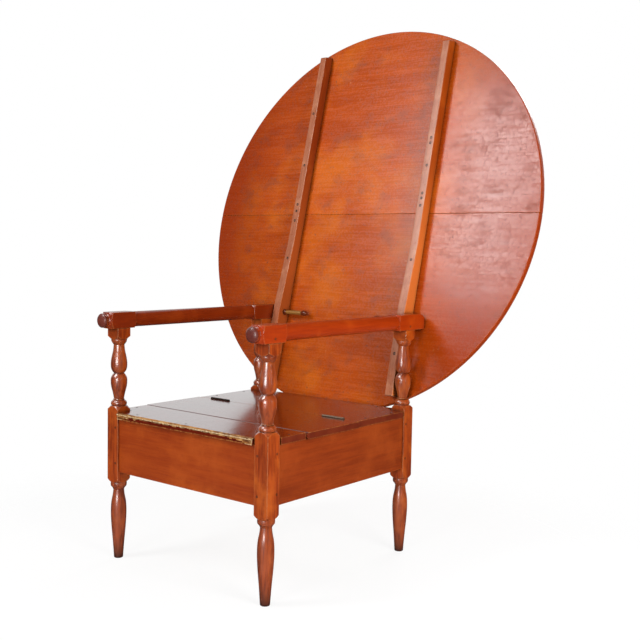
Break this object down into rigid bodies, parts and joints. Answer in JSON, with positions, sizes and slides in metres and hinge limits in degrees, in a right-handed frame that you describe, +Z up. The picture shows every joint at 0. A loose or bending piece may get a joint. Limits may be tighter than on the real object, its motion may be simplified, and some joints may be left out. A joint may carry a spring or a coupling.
{
  "type": "chair table",
  "caption": "Wooden armchair with a box seat, whose round back tips down over the arms to make a table.",
  "frame": {"origin": "on the floor, under the middle of the object's box with the top upright", "axes": "+Z up, the chair faces -Y, +X to the right of someone who looks at its front"},
  "size_m": [1.2539, 0.9876, 1.6085],
  "materials": {
    "turned_wood": "worn red-brown shellac over turned maple",
    "box_wood": "worn red-brown shellac over pine boards",
    "seat_wood": "dark worn shellac over pine boards",
    "top_wood": "red-brown shellac over wide pine boards",
    "cleat_wood": "red-brown shellac over maple",
    "peg_wood": "hand-worn maple",
    "inside_wood": "bare pine, darkened by age",
    "iron": "dark worn iron"
  },
  "bodies": {
    "base": {"post_front_left": "turned_wood", "post_front_right": "turned_wood", "post_rear_left": "turned_wood", "post_rear_right": "turned_wood", "arm_left": "turned_wood", "arm_right": "turned_wood", "arm_pegs": "peg_wood", "apron_pegs": "peg_wood", "apron_front": "box_wood", "apron_rear": "box_wood", "apron_left": "box_wood", "apron_right": "box_wood", "seat_front_board": "seat_wood", "seat_rear_board": "seat_wood", "hinge_leaf_fixed_left": "iron", "hinge_leaf_fixed_right": "iron", "hinge_pin_left": "iron", "hinge_pin_right": "iron", "hinge_screws_fixed": "iron", "box_floor_board_1": "inside_wood", "box_floor_board_2": "inside_wood", "box_floor_board_3": "inside_wood", "box_floor_board_4": "inside_wood", "box_ledger_left": "inside_wood", "box_ledger_right": "inside_wood", "cut_nails": "iron"},
    "top": {"top_board_upper": "top_wood", "top_board_lower": "top_wood", "top_dowels": "peg_wood", "cleat_left": "cleat_wood", "cleat_right": "cleat_wood", "cleat_screws": "iron"},
    "lid": {"seat_lid": "seat_wood", "hinge_leaf_lid_left": "iron", "hinge_leaf_lid_right": "iron", "hinge_screws_lid": "iron"},
    "peg_left": {"pivot_peg_left": "peg_wood"},
    "peg_right": {"pivot_peg_right": "peg_wood"}
  },
  "joints": [
    {"name": "top_tilt", "type": "hinge", "parent": "base", "child": "top", "pos_m": [0, 0.2249, 0.6845], "axis": [1, 0, 0], "range_deg": [0, 103.7]},
    {"name": "lid_hinge", "type": "hinge", "parent": "base", "child": "lid", "pos_m": [0, -0.082, 0.4265], "axis": [-1, 0, 0], "range_deg": [0, 175]},
    {"name": "peg_left_pull", "type": "slide", "parent": "base", "child": "peg_left", "axis": [1, 0, 0], "range_m": [0, 0.08]},
    {"name": "peg_right_pull", "type": "slide", "parent": "base", "child": "peg_right", "axis": [-1, 0, 0], "range_m": [0, 0.08]}
  ]
}
